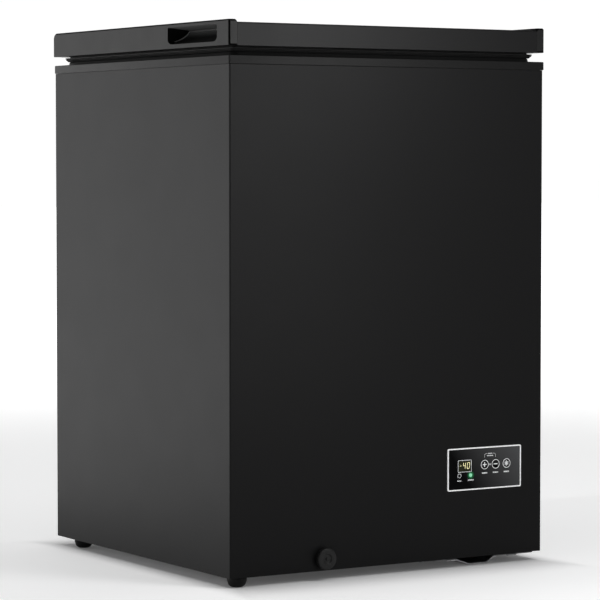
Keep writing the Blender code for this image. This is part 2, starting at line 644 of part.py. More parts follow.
def build():
    clear_scene()
    black_paint = make_material("black_paint", (0.018, 0.018, 0.019), 0.42)
    black_plastic = make_material("black_plastic", (0.016, 0.016, 0.017), 0.5)
    galvanised = make_material("galvanised_steel", (0.55, 0.56, 0.57), 0.38, 1.0)
    white_sheet = make_material("white_liner", (0.82, 0.83, 0.84), 0.3)
    foam = make_material("insulating_foam", (0.8, 0.72, 0.45), 0.9)
    copper = make_material("copper_tube", (0.72, 0.36, 0.2), 0.32, 1.0)
    black_steel = make_material("black_steel", (0.02, 0.02, 0.02), 0.35, 0.3)
    rubber = make_material("black_rubber", (0.02, 0.02, 0.02), 0.75)
    silver = make_material("silver_line", (0.75, 0.76, 0.78), 0.22, 1.0)
    gloss = make_material("gloss_black", (0.006, 0.006, 0.007), 0.08)
    board_green = make_material("circuit_board", (0.02, 0.16, 0.06), 0.5)
    glass = make_material("display_glass", (0.01, 0.012, 0.01), 0.1)
    lens = make_material("indicator_lens", (0.25, 0.6, 0.3), 0.25)
    basket_white = make_material("basket_white", (0.85, 0.86, 0.87), 0.4)
    hinge_steel = make_material("hinge_steel", (0.05, 0.05, 0.055), 0.4, 0.8)

    outer_wrap(black_paint)
    rear_panel(black_paint)
    bottom_panel(galvanised)
    top_frame(black_plastic)
    inner_liner(white_sheet)
    foam_body(foam)
    evaporator_coil(copper)
    temperature_sensor(black_plastic)
    condenser_coil(copper)
    base_plate(galvanised)
    rear_cover(black_paint)
    cord_gland(black_plastic)
    vent_grille(black_plastic)
    feet(black_plastic)
    compressor(black_steel, rubber, black_plastic)
    pipes(copper)
    drain(black_plastic, joint_empty("drain_plug_outer_axis", DRAIN_X, FRONT_Y, DRAIN_Z),
          joint_empty("drain_plug_inner_axis", DRAIN_X, DRAIN_Y, FLOOR_Z))
    control_panel(silver, gloss, black_plastic, board_green, glass, lens)
    buttons(gloss)

    lid_axis = joint_empty("lid_axis", 0.0, HINGE_Y, HINGE_Z)
    lid_shell(black_paint, white_sheet, foam, rubber, lid_axis)
    for side in (-1, 1):
        lid_trim(side, black_plastic, lid_axis)
        hinge(side, hinge_steel, lid_axis)
        middle = side * (BASKET_NEAR + BASKET_FAR) / 2
        basket(side, basket_white, joint_empty(f"basket_axis_{side}", middle, 0.0, LEDGE_Z))


build()
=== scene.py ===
from math import cos, pi, radians, sin

import bmesh
import bpy
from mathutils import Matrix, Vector


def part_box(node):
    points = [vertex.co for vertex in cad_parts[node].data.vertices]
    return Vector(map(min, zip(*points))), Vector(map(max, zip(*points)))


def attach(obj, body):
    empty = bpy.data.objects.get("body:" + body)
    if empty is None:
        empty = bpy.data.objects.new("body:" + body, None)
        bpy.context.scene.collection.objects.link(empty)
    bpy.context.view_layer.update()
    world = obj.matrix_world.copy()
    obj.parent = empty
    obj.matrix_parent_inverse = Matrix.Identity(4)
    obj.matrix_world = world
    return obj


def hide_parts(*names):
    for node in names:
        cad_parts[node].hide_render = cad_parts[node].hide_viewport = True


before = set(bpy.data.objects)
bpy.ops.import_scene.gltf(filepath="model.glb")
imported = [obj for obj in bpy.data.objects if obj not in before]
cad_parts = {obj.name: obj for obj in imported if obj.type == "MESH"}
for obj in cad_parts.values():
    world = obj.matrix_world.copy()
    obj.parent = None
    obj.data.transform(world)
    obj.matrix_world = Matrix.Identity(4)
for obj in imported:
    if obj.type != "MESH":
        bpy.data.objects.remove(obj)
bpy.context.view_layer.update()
mm = 0.001  # sizes below are in millimetres


def boxOf(node):
    low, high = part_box(node)
    return low / mm, high / mm


# mesh tools

def lift(loop, axis, height):
    if axis == "X":
        return [(height, u, v) for u, v in loop]
    if axis == "Y":
        return [(u, height, v) for u, v in loop]
    return [(u, v, height) for u, v in loop]


def skin(rings, closed=False, bm=None):
    bm = bm or bmesh.new()
    loops = [[bm.verts.new(point) for point in ring] for ring in rings]
    pairs = list(zip(loops, loops[1:]))
    if closed:
        pairs.append((loops[-1], loops[0]))
    for lower, upper in pairs:
        for i in range(len(lower)):
            j = (i + 1) % len(lower)
            bm.faces.new((lower[i], lower[j], upper[j], upper[i]))
    if not closed:
        bm.faces.new(loops[0])
        bm.faces.new(loops[-1])
    return bm


def prism(outline, axis, low, high, bm=None):
    return skin([lift(outline, axis, low), lift(outline, axis, high)], bm=bm)


def rectLoop(u0, u1, v0, v1, radius=0.0, steps=4):
    # radius is one number, or four: lower right, upper right, upper left, lower left; each may be a pair
    radii = radius if isinstance(radius, tuple) else (radius,) * 4
    radii = [r if isinstance(r, tuple) else (r, r) for r in radii]
    places = [(u1, v0, -1, 1, -90), (u1, v1, -1, -1, 0), (u0, v1, 1, -1, 90), (u0, v0, 1, 1, 180)]
    loop = []
    for (ru, rv), (u, v, su, sv, start) in zip(radii, places):
        for step in range(steps + 1):
            angle = radians(start + 90 * step / steps)
            loop.append((u + su * ru + ru * cos(angle), v + sv * rv + rv * sin(angle)))
    return loop


def circle(cu, cv, radius, sides):
    angles = [2 * pi * i / sides for i in range(sides)]
    return [(cu + radius * cos(a), cv + radius * sin(a)) for a in angles]


def turned(profile, axis, centre, sides, closed=False, bm=None):
    return skin([lift(circle(*centre, r, sides), axis, h) for r, h in profile], closed, bm)


def arc(cu, cv, radius, start, stop, steps):
    angles = [radians(start + (stop - start) * i / steps) for i in range(steps + 1)]
    return [(cu + radius * cos(a), cv + radius * sin(a)) for a in angles]


def strip(points, width, axis, low, high, bm=None, loop=False):
    # a flat line of even width along the points
    points = [Vector(p) for p in points]
    count = len(points)
    left, right = [], []
    for i, point in enumerate(points):
        before = points[i - 1] if i or loop else None
        after = points[(i + 1) % count] if i + 1 < count or loop else None
        into = (point - before).normalized() if before is not None else (after - point).normalized()
        out = (after - point).normalized() if after is not None else into
        n1, n2 = Vector((-into.y, into.x)), Vector((-out.y, out.x))
        shift = (n1 + n2) * (width / 2) / max(0.3, 1 + n1.dot(n2))
        left.append(tuple(point + shift))
        right.append(tuple(point - shift))
    if loop:
        corners = [(left, low), (left, high), (right, high), (right, low)]
        return skin([lift(edge, axis, level) for edge, level in corners], True, bm)
    return prism(left + right[::-1], axis, low, high, bm)


def sweep(path, radius, sides, bm=None):
    path = [Vector(p) for p in path]
    last = len(path) - 1
    tangents = [(path[min(i + 1, last)] - path[max(i - 1, 0)]).normalized() for i in range(last + 1)]
    normal = tangents[0].orthogonal().normalized()
    rings = []
    for point, tangent in zip(path, tangents):
        normal = (normal - tangent * normal.dot(tangent)).normalized()
        side = tangent.cross(normal)
        angles = [2 * pi * i / sides for i in range(sides)]
        rings.append([point + (normal * cos(a) + side * sin(a)) * radius for a in angles])
    return skin(rings, bm=bm)


def newObject(name, bm, material):
    for vert in bm.verts:
        vert.co *= mm
    bmesh.ops.recalc_face_normals(bm, faces=bm.faces)
    mesh = bpy.data.meshes.new(name)
    bm.to_mesh(mesh)
    bm.free()
    mesh.materials.append(material)
    mesh.shade_smooth()
    obj = bpy.data.objects.new(name, mesh)
    bpy.context.scene.collection.objects.link(obj)
    return obj


def cutWith(piece, bm, operation="DIFFERENCE"):
    # a Boolean worked out at once, so that no tool stays in the scene
    tool = newObject("tool", bm, piece.data.materials[0])
    modifier = piece.modifiers.new("Cut", "BOOLEAN")
    modifier.operation = operation
    modifier.object = tool
    settle(piece)
    bpy.data.objects.remove(tool, do_unlink=True)


def settle(piece):
    # turns the modifiers into plain mesh
    graph = bpy.context.evaluated_depsgraph_get()
    graph.update()
    mesh = bpy.data.meshes.new_from_object(piece.evaluated_get(graph))
    piece.modifiers.clear()
    piece.data = mesh


def roundEdges(piece, width, segments=3, angle=40):
    bevel = piece.modifiers.new("Edges", "BEVEL")
    bevel.width = width * mm
    bevel.segments = segments
    bevel.limit_method = "ANGLE"
    bevel.angle_limit = radians(angle)
    bevel.harden_normals = True
    bevel.use_clamp_overlap = True


def finishPiece(piece, body, replaces=(), edges=0.0, segments=3, sharp=35):
    if edges:
        roundEdges(piece, edges, segments)
    else:
        piece.data.set_sharp_from_angle(angle=radians(sharp))
    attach(piece, body)
    if replaces:
        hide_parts(*replaces)
    return piece


def addPiece(name, bm, material, body, replaces=(), edges=0.0, segments=3, sharp=35):
    return finishPiece(newObject(name, bm, material), body, replaces, edges, segments, sharp)


# finishes

def newFinish(name, color, roughness, metallic=0.0, specular=0.5):
    material = bpy.data.materials.new(name)
    material.use_nodes = True
    shader = material.node_tree.nodes["Principled BSDF"]
    shader.inputs["Base Color"].default_value = (*color, 1)
    shader.inputs["Roughness"].default_value = roughness
    shader.inputs["Metallic"].default_value = metallic
    shader.inputs["Specular IOR Level"].default_value = specular
    return material, shader


def noise(material, scale, detail=2.0, stretch=(1, 1, 1)):
    tree = material.node_tree
    coords = tree.nodes.new("ShaderNodeTexCoord")
    mapping = tree.nodes.new("ShaderNodeMapping")
    mapping.inputs["Scale"].default_value = stretch
    texture = tree.nodes.new("ShaderNodeTexNoise")
    texture.inputs["Scale"].default_value = scale
    texture.inputs["Detail"].default_value = detail
    tree.links.new(coords.outputs["Object"], mapping.inputs["Vector"])
    tree.links.new(mapping.outputs["Vector"], texture.inputs["Vector"])
    return texture.outputs[0]


def cells(material, scale, feature="F1"):
    tree = material.node_tree
    coords = tree.nodes.new("ShaderNodeTexCoord")
    texture = tree.nodes.new("ShaderNodeTexVoronoi")
    texture.feature = feature
    texture.inputs["Scale"].default_value = scale
    tree.links.new(coords.outputs["Object"], texture.inputs["Vector"])
    return texture


def spread(material, value, low, high, start=0.3, stop=0.7):
    tree = material.node_tree
    node = tree.nodes.new("ShaderNodeMapRange")
    for socket, number in (("From Min", start), ("From Max", stop), ("To Min", low), ("To Max", high)):
        node.inputs[socket].default_value = number
    tree.links.new(value, node.inputs["Value"])
    return node.outputs["Result"]


def varyRoughness(material, shader, scale, low, high, detail=3.0):
    value = spread(material, noise(material, scale, detail), low, high)
    material.node_tree.links.new(value, shader.inputs["Roughness"])


def varyColor(material, shader, value, dark, light):
    tree = material.node_tree
    ramp = tree.nodes.new("ShaderNodeValToRGB")
    ramp.color_ramp.elements[0].position = 0.3
    ramp.color_ramp.elements[0].color = (*dark, 1)
    ramp.color_ramp.elements[1].position = 0.7
    ramp.color_ramp.elements[1].color = (*light, 1)
    tree.links.new(value, ramp.inputs["Fac"])
    tree.links.new(ramp.outputs["Color"], shader.inputs["Base Color"])


def addBump(material, shader, heights):
    # heights: (value, depth in millimetres), finest last
    tree = material.node_tree
    previous = None
    for value, depth in heights:
        bump = tree.nodes.new("ShaderNodeBump")
        bump.inputs["Strength"].default_value = 1.0
        bump.inputs["Distance"].default_value = depth * mm
        tree.links.new(value, bump.inputs["Height"])
        if previous:
            tree.links.new(previous, bump.inputs["Normal"])
        previous = bump.outputs["Normal"]
    tree.links.new(previous, shader.inputs["Normal"])


def satinPaint(name, specular):
    look = {"color": (0.0045, 0.0045, 0.0047), "lighter": (0.006, 0.006, 0.0062),
            "roughness": (0.42, 0.445), "sheetWave": 0.03, "grain": 0.012}
    material, shader = newFinish(name, look["color"], 0.4, 0.0, specular)
    varyRoughness(material, shader, 14, *look["roughness"])
    varyColor(material, shader, noise(material, 700, 2), look["color"], look["lighter"])
    sheetWave = (noise(material, 2.4, 1), look["sheetWave"])
    addBump(material, shader, [sheetWave, (noise(material, 900, 2), look["grain"])])
    return material


def mouldedPlastic(name, color, lighter, specular):
    look = {"roughness": (0.42, 0.46), "grain": 0.03}
    material, shader = newFinish(name, (color,) * 3, 0.45, 0.0, specular)
    varyRoughness(material, shader, 30, *look["roughness"])
    varyColor(material, shader, noise(material, 500, 3), (color,) * 3, (lighter,) * 3)
    addBump(material, shader, [(noise(material, 1300, 3), look["grain"])])
    return material


def shadedScoop():
    # the finger recess: painted shade keeps it matt black low down, a painted highlight makes it paler where
    # the wall turns upright
    look = {"low": 0.0015, "high": 0.05, "from": 0.8225, "to": 0.8375}
    material, shader = newFinish("scoopShadeAndHighlight", (look["low"],) * 3, 0.5, 0.0, 0.1)
    tree = material.node_tree
    place = tree.nodes.new("ShaderNodeTexCoord").outputs["Object"]
    parts = tree.nodes.new("ShaderNodeSeparateXYZ")
    tree.links.new(place, parts.inputs["Vector"])
    rise = spread(material, parts.outputs["Z"], 0.3, 0.7, look["from"], look["to"])
    varyColor(material, shader, rise, (look["low"],) * 3, (look["high"],) * 3)
    varyRoughness(material, shader, 30, 0.46, 0.54)
    addBump(material, shader, [(noise(material, 1300, 3), 0.03)])
    return material


def zincSteel(name, dark, light):
    look = {"roughness": (0.35, 0.55), "flake": 90}
    material, shader = newFinish(name, (light,) * 3, 0.4, 0.55)
    flakes = cells(material, look["flake"])
    varyColor(material, shader, flakes.outputs["Color"], (dark, dark, dark * 1.03),
              (light, light, light * 1.02))
    varyRoughness(material, shader, 120, *look["roughness"])
    addBump(material, shader, [(flakes.outputs["Distance"], 0.02), (noise(material, 600, 2), 0.01)])
    return material


def linerSheet():
    look = {"color": (0.74, 0.76, 0.78), "lighter": (0.8, 0.82, 0.84), "roughness": (0.28, 0.38),
            "emboss": 0.22}
    material, shader = newFinish("linerSheet", look["color"], 0.3)
    pebbles = cells(material, 260, "SMOOTH_F1")
    varyColor(material, shader, noise(material, 9, 3), look["color"], look["lighter"])
    varyRoughness(material, shader, 25, *look["roughness"])
    emboss = (pebbles.outputs["Distance"], look["emboss"])
    addBump(material, shader, [emboss, (noise(material, 800, 2), 0.01)])
    return material


def whitePlastic(name, tint, grain):
    light = tuple(min(1.0, channel * 1.05) for channel in tint)
    material, shader = newFinish(name, tint, 0.38)
    varyRoughness(material, shader, 40, 0.3, 0.42)
    varyColor(material, shader, noise(material, 12, 3), tint, light)
    addBump(material, shader, [(noise(material, 8, 2), 0.15), (noise(material, 900, 3), grain)])
    shader.inputs["Subsurface Weight"].default_value = 0.05
    shader.inputs["Subsurface Scale"].default_value = 0.004
    return material


def copper():
    material, shader = newFinish("copper", (0.68, 0.33, 0.19), 0.3, 1.0)
    varyColor(material, shader, noise(material, 60, 4), (0.42, 0.19, 0.11), (0.78, 0.4, 0.25))
    varyRoughness(material, shader, 90, 0.22, 0.45)
    addBump(material, shader, [(noise(material, 500, 2), 0.02)])
    return material


def enamel():
    material, shader = newFinish("compressorEnamel", (0.012, 0.012, 0.013), 0.25, 0.0, 0.5)
    varyRoughness(material, shader, 60, 0.2, 0.34)
    varyColor(material, shader, noise(material, 200, 3), (0.009, 0.009, 0.01), (0.016, 0.016, 0.017))
    addBump(material, shader, [(noise(material, 140, 2), 0.06), (noise(material, 900, 2), 0.02)])
    return material


def rubber():
    material, shader = newFinish("sealRubber", (0.005, 0.005, 0.0052), 0.6, 0.0, 0.12)
    varyRoughness(material, shader, 80, 0.58, 0.66)
    varyColor(material, shader, noise(material, 150, 3), (0.0045, 0.0045, 0.0045), (0.007, 0.007, 0.007))
    addBump(material, shader, [(noise(material, 1500, 2), 0.01)])
    return material


def brushedSilverPaintedGlow():
    material, shader = newFinish("brushedSilverPaintedGlow", (0.93, 0.93, 0.94), 0.28, 0.1)
    # the silver line glows a little: a painted highlight, as it is no lamp
    shader.inputs["Emission Color"].default_value = (1, 1, 1, 1)
    shader.inputs["Emission Strength"].default_value = 0.14
    varyRoughness(material, shader, 300, 0.2, 0.36)
    varyColor(material, shader, noise(material, 220, 2, (1, 1, 8)), (0.88, 0.88, 0.89),
              (0.96, 0.96, 0.97))
    addBump(material, shader, [(noise(material, 900, 2, (1, 1, 12)), 0.006)])
    return material


def glossBlack():
    material, shader = newFinish("glossBlack", (0.002, 0.002, 0.0022), 0.1, 0.0, 0.12)
    varyRoughness(material, shader, 55, 0.07, 0.13)
    varyColor(material, shader, noise(material, 90, 2), (0.0015, 0.0015, 0.0017), (0.003, 0.003, 0.0032))
    addBump(material, shader, [(noise(material, 35, 1), 0.01)])
    return material


def fasciaPaintedLight():
    # black at the left, turning grey at the upper right as a painted reflection, with a painted green glow
    # round the running light
    look = {"black": (0.0006, 0.0006, 0.0007), "reflectionGrey": (0.072, 0.073, 0.075),
            "lightAt": (0.1487, -0.2848, 0.1445), "halo": 0.007,
            "haloColor": (0.01, 0.2, 0.06), "specular": 0.04}
    material, shader = newFinish("fasciaPaintedLight", look["black"], 0.1, 0.0, look["specular"])
    tree = material.node_tree
    place = tree.nodes.new("ShaderNodeTexCoord").outputs["Object"]
    slope = tree.nodes.new("ShaderNodeVectorMath")
    slope.operation = "DOT_PRODUCT"
    slope.inputs[1].default_value = (1.0, 0.0, 0.7)
    tree.links.new(place, slope.inputs[0])
    # painted reflection: colour runs from black to grey along this slope
    varyColor(material, shader, spread(material, slope.outputs["Value"], 0.3, 0.7, 0.235, 0.375),
              look["black"], look["reflectionGrey"])
    reach = tree.nodes.new("ShaderNodeVectorMath")
    reach.operation = "DISTANCE"
    reach.inputs[1].default_value = look["lightAt"]
    tree.links.new(place, reach.inputs[0])
    # the halo is painted light glowing from the fascia, not from the lamp
    shader.inputs["Emission Color"].default_value = (*look["haloColor"], 1)
    glow = spread(material, reach.outputs["Value"], 0.75, 0.0, 0.0028, look["halo"])
    tree.links.new(glow, shader.inputs["Emission Strength"])
    varyRoughness(material, shader, 55, 0.07, 0.13)
    addBump(material, shader, [(noise(material, 35, 1), 0.01)])
    return material


def displayGlass():
    material, shader = newFinish("displayGlass", (0.006, 0.0065, 0.004), 0.12, 0.0, 0.1)
    varyRoughness(material, shader, 70, 0.08, 0.15)
    varyColor(material, shader, noise(material, 60, 2), (0.004, 0.0045, 0.003), (0.012, 0.013, 0.006))
    shader.inputs["Emission Color"].default_value = (0.5, 0.55, 0.12, 1)
    shader.inputs["Emission Strength"].default_value = 0.012
    return material


def printedInk():
    material, shader = newFinish("printedInk", (0.82, 0.83, 0.84), 0.5)
    varyRoughness(material, shader, 400, 0.45, 0.6)
    varyColor(material, shader, noise(material, 2500, 2), (0.76, 0.77, 0.78), (0.9, 0.91, 0.92))
    addBump(material, shader, [(noise(material, 3000, 1), 0.01)])
    return material


def litSegment(name, color, strength):
    material, shader = newFinish(name, color, 0.3)
    varyRoughness(material, shader, 900, 0.25, 0.4)
    shader.inputs["Emission Color"].default_value = (*color, 1)
    shader.inputs["Emission Strength"].default_value = strength
    return material


def hingeSteel():
    material, shader = newFinish("hingeSteel", (0.055, 0.055, 0.058), 0.36, 0.85)
    varyRoughness(material, shader, 110, 0.3, 0.48)
    varyColor(material, shader, noise(material, 90, 4), (0.04, 0.04, 0.042), (0.075, 0.075, 0.078))
    addBump(material, shader, [(noise(material, 1100, 2), 0.012)])
    return material


def circuitGreen():
    material, shader = newFinish("circuitGreen", (0.015, 0.13, 0.05), 0.35)
    varyRoughness(material, shader, 200, 0.3, 0.45)
    tracks = cells(material, 420, "DISTANCE_TO_EDGE")
    varyColor(material, shader, tracks.outputs["Distance"], (0.02, 0.2, 0.08), (0.012, 0.1, 0.04))
    return material


def foamBeige():
    material, shader = newFinish("foamBeige", (0.75, 0.66, 0.4), 0.9)
    varyColor(material, shader, noise(material, 180, 4), (0.66, 0.56, 0.32), (0.82, 0.74, 0.5))
    addBump(material, shader, [(cells(material, 500).outputs["Distance"], 0.3)])
    return material


print("finishes")
paint, lidPaint, liner = satinPaint("satinPaint", 0.1), satinPaint("lidPaint", 0.15), linerSheet()
# two copies of one zinc: the bright one for the hem, bolts and studs, the darker one is painted shade on the
# base plate and bottom pan
zinc, zincPaintedShade = zincSteel("zincSteel", 0.5, 0.74), zincSteel("zincPaintedShade", 0.14, 0.24)
plastic = mouldedPlastic("mouldedPlastic", 0.0045, 0.0065, 0.11)
trimPlastic = mouldedPlastic("trimPlastic", 0.005, 0.007, 0.11)
edgeShadePlastic = mouldedPlastic("edgeShadePlastic", 0.0012, 0.0018, 0.01)
endHighlightPlastic = mouldedPlastic("endHighlightPlastic", 0.006, 0.008, 0.18)
scoopShadeAndHighlight = shadedScoop()
capPlastic = mouldedPlastic("capPlastic", 0.011, 0.016, 0.2)
beadHighlightPlastic = mouldedPlastic("beadHighlightPlastic", 0.1, 0.12, 0.3)
white = whitePlastic("basketWhite", (0.78, 0.79, 0.8), 0.02)
panelWhite = whitePlastic("lidPanelWhite", (0.74, 0.75, 0.77), 0.03)
tube, shell, seal, silver = copper(), enamel(), rubber(), brushedSilverPaintedGlow()
fascia, gloss, ink, glass = fasciaPaintedLight(), glossBlack(), printedInk(), displayGlass()
hingeMetal, board, foam = hingeSteel(), circuitGreen(), foamBeige()
digitGlow = litSegment("digitGlow", (0.9, 0.84, 0.45), 0.9)
runGlow = litSegment("runGlow", (0.22, 0.6, 0.36), 0.42)

nodeFinishes = {
    paint: ["outer_wrap", "rear_panel", "compressor_cover"],
    lidPaint: ["lid_outer_panel"],
    plastic: ["control_housing", "start_relay_cover", "temperature_sensor", "drain_pipe", "cord_gland"],
    capPlastic: ["drain_collar", "drain_plug_inner"],
    zincPaintedShade: ["bottom_panel", "compressor_base_plate"],
    tube: ["evaporator_coil", "condenser_coil", "suction_pipe", "discharge_pipe", "filter_drier"],
    shell: ["compressor", "compressor_foot_plate"],
    seal: [f"mount_grommet_{corner}" for corner in (1, 2, 3, 4)],
    glass: ["display_module"],
    board: ["control_board"],
    foam: ["foam_body", "lid_foam"],
    hingeMetal: [f"hinge_{part}_{side}" for side in ("left", "right")
                 for part in ("base", "arm", "pin", "spring")],
    liner: ["inner_liner"],
}
for finish, names in nodeFinishes.items():
    for name in names:
        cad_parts[name].data.materials.clear()
        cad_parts[name].data.materials.append(finish)


# lid end trims with their finger recesses

trim = {"edge": 2.4, "innerEdge": 3.6, "corners": (2.41, 10.0, 3.0, 2.41), "inside": 274.3,
        "mouthTop": 838.9, "mouthBottom": 812.9, "mouthFront": -248.9, "mouthRear": -99.0,
        "draft": 0.38, "ceilingFall": 4.6, "wall": 1.3, "pocketTop": 839.4, "endWall": 16.0, "bead": 0.9}
# depth behind the mouth and height above the mouth's lower edge: the curved floor of the scoop
scoopFloor = [(-4, 0), (0, 0), (1.5, 0.5), (4, 1.3), (7, 2.6), (11, 4.2), (16.5, 6.4), (21.5, 9.1),
              (25.5, 12.0), (28.5, 15.0), (30.6, 17.9), (31.6, 20.2)]


def trimBody(low, high, side, outside, inside):
    rounding, innerRounding, steps = trim["edge"], trim["innerEdge"], 5
    turns = [radians(90 * i / steps) for i in range(steps + 1)]
    rings = []
    for a in turns:
        inset, depth = rounding * (1 - sin(a)), rounding * (1 - cos(a))
        radii = tuple(radius - inset for radius in trim["corners"])
        loop = rectLoop(low.y + inset, high.y - inset, low.z + inset * 0.15, high.z - inset, radii, 6)
        rings.append(lift(loop, "X", outside - side * depth))
    # only the top is rounded at the inner side
    for a in reversed(turns):
        inset, depth = innerRounding * (1 - sin(a)), innerRounding * (1 - cos(a))
        loop = rectLoop(low.y, high.y, low.z, high.z - inset, trim["corners"], 6)
        rings.append(lift(loop, "X", inside + side * depth))
    bm = skin(rings)
    bmesh.ops.recalc_face_normals(bm, faces=bm.faces)
    for face in bm.faces:
        # rounded edges take a darker copy of the plastic as painted shade, the front end a lighter, glossier
        # copy as a painted highlight
        if max(abs(part) for part in face.normal) < 0.995:
            face.material_index = 1
        elif face.normal.y < -0.9:
            face.material_index = 3
    return bm


def buildTrim(side):
    name = "lidTrimLeft" if side < 0 else "lidTrimRight"
    node = "lid_trim_left" if side < 0 else "lid_trim_right"
    low, high = boxOf(node)
    outside = side * max(abs(low.x), abs(high.x))
    inner = min(abs(low.x), abs(high.x))
    piece = newObject(name, trimBody(low, high, side, outside, side * trim["inside"]), trimPlastic)
    for finish in (edgeShadePlastic, scoopShadeAndHighlight, endHighlightPlastic):
        piece.data.materials.append(finish)
    y0, y1, z0, z1 = trim["mouthFront"], trim["mouthRear"], trim["mouthBottom"], trim["mouthTop"]
    wall, deepest = trim["wall"], scoopFloor[-1][0]
    pocket = rectLoop(y0 - wall, y1 + wall, z0 - wall, trim["pocketTop"], 3.0)
    cutWith(piece, prism(pocket, "X", side * (trim["inside"] + 1.2), side * (inner + 0.3)), "UNION")
    rings = []
    for depth, rise in scoopFloor:
        inset = max(0.0, depth) * trim["draft"]
        ceiling = z1 - max(0.0, depth) / deepest * trim["ceilingFall"]
        room = (ceiling - z0 - rise) / 2 - 0.1
        fade = max(0.0, 1 - max(0.0, depth) / 12)
        rear = (3 + 11 * fade, min(room, 2 + 5.5 * fade))
        front = (3 + 8 * fade, min(room, 2 + 5.5 * fade))
        radii = (rear, (3.2, min(room, 2.6)), (5.0, min(room, 4.0)), front)
        loop = rectLoop(y0 + inset, y1 - inset, z0 + rise, ceiling, radii, 6)
        rings.append(lift(loop, "X", outside - side * depth))
    scoop = skin(rings)
    for face in scoop.faces:
        # the rear end wall takes the edges' painted shade and stays black, the rest is the scoop with its
        # painted shade and highlight
        face.material_index = 1 if face.calc_center_median().y > y1 - trim["endWall"] else 2
    cutWith(piece, scoop)
    piece.data.shade_smooth()
    finishPiece(piece, "lid", [node], sharp=32)
    flat = piece.modifiers.new("Normals", "WEIGHTED_NORMAL")
    flat.weight = 100
    flat.keep_sharp = True
    # the edge where the scoop meets its end wall, a bead in a much lighter plastic as a painted highlight
    edge = [(outside - side * depth, y1 - depth * trim["draft"] - 1.0, z0 + rise + 0.5)
            for depth, rise in scoopFloor[3:]]
    addPiece(name + "Bead", sweep(edge, trim["bead"], 8), beadHighlightPlastic, "lid", sharp=60)


print("lid")
buildTrim(-1)
buildTrim(1)


# gasket and top frame

def rimRings(profile, corner, halfX, halfY, steps):
    rings = []
    for inset, z in profile:
        loop = rectLoop(inset - halfX, halfX - inset, inset - halfY, halfY - inset, corner(inset), steps)
        rings.append(lift(loop, "Z", z))
    return rings


rim = {"halfX": 288.5, "halfY": 284.5, "bandRound": 0.8, "bandFoot": 13.0, "bandTop": 792.0,
       "ledge": 772.0, "sealRidge": 0.9}


def buildGasket():
    low, high = boxOf("lid_gasket")
    top, foot = high.z, low.z
    ridge = rim["sealRidge"]
    profile = [(17.5, top), (17.5, top - 1.5), (12.2, top - 1.9), (11.6, top - 2.4), (11.9, top - 3.6),
               (13.2, top - 4.2), (13.2 - ridge, top - 4.7), (13.2 - ridge, top - 5.3),
               (13.4, top - 5.9), (14.2, top - 6.6), (14.6, foot + 0.4), (15.2, foot), (35, foot),
               (37.5, foot + 1), (38, foot + 3), (37, foot + 5.5), (34, top)]
    bm = skin(rimRings(profile, lambda inset: 7.0, rim["halfX"], rim["halfY"], 6), True)
    addPiece("lidSeal", bm, seal, "lid", ["lid_gasket"], sharp=50)


lining = {"flange": 24.0, "wall": 1.4, "sunk": 0.9, "panelRadius": 26.0}


def buildLidLining():
    low, high = boxOf("lid_inner_panel")
    base, flat = low.z, high.z - 1.5  # lowest face of the plug, underside of its flange
    far = lining["flange"]
    wall, sunk = lining["wall"], lining["sunk"]
    profile = [(far, flat + wall), (far, flat), (60.5, flat), (61.6, flat - 0.6), (62.5, flat - 2.2),
               (66.5, base + 4.5), (67.6, base + 2.4), (70.0, base + 0.8), (74.0, base), (96.0, base),
               (97.2, base + 0.2), (98.2, base + 0.7), (99.4, base + sunk), (101.0, base + sunk)]
    rings = rimRings(profile, lambda inset: 4.0 if inset < 30 else lining["panelRadius"], rim["halfX"],
                     rim["halfY"], 8)
    inside = [(101.0, base + sunk + 0.3), (96.0, base + 0.3), (74.0, base + 0.3), (64.0, flat + wall)]
    rings += rimRings(inside, lambda inset: lining["panelRadius"], rim["halfX"], rim["halfY"], 8)
    bm = skin(rings, True)
    middle = rimRings([(100.8, base + sunk), (100.8, base + sunk + 0.3)], lambda inset: 25.9,
                      rim["halfX"], rim["halfY"], 8)
    skin(middle, bm=bm)
    addPiece("lidLining", bm, panelWhite, "lid", ["lid_inner_panel"], sharp=45)
    under = [(1.2, flat), (1.2, flat + 1.2), (far - 0.3, flat + 1.2), (far - 0.3, flat)]
    bm = skin(rimRings(under, lambda inset: 3.0, rim["halfX"] - 13.2, rim["halfY"], 4), True)
    addPiece("lidEdgeFrame", bm, plastic, "lid", sharp=40)


def buildTopFrame():
    low, high = boxOf("top_frame")
    r = rim["bandRound"]
    foot, band, top, ledge = low.z + rim["bandFoot"], rim["bandTop"], high.z, rim["ledge"]
    profile = [(r, foot), (0, foot + r), (0, band - r), (r, band), (14.2, band), (14.7, band + 0.5),
               (15.4, top - 1.0), (16.4, top), (52, top), (54.5, top - 0.8), (55.5, top - 3.2),
               (55.5, ledge + 1.0), (56.5, ledge), (70.4, ledge), (71.5, ledge - 1.1), (71.5, ledge - 6),
               (53.5, ledge - 6), (53.5, ledge + 7)]
    rings = rimRings(profile, lambda inset: 2.2 if inset < 14 else 12.0, rim["halfX"], rim["halfY"], 5)
    addPiece("topFrameMoulding", skin(rings, True), plastic, "cabinet",
             ["top_frame"], sharp=40)


buildGasket()
buildLidLining()
buildTopFrame()


# control panel

panel = {"x0": 105.0, "x1": 246.0, "z0": 121.0, "z1": 187.5, "line": 1.9, "ink": 0.06,
         "ringOuter": 7.6, "ringLine": 0.95, "iconLine": 1.5, "buttonZ": 159.5,
         "ledX": (127.1, 148.7), "ledZ": 144.5, "window": (125.6, 149.0, 151.0, 167.4)}
buttonX = {"button_temp_up": 175.4, "button_temp_down": 196.4, "button_power": 217.6}
buttonNames = {"button_temp_up": "plusButton", "button_temp_down": "minusButton", "button_power": "frostButton"}
face = boxOf("control_fascia")[0].y  # front of the fascia


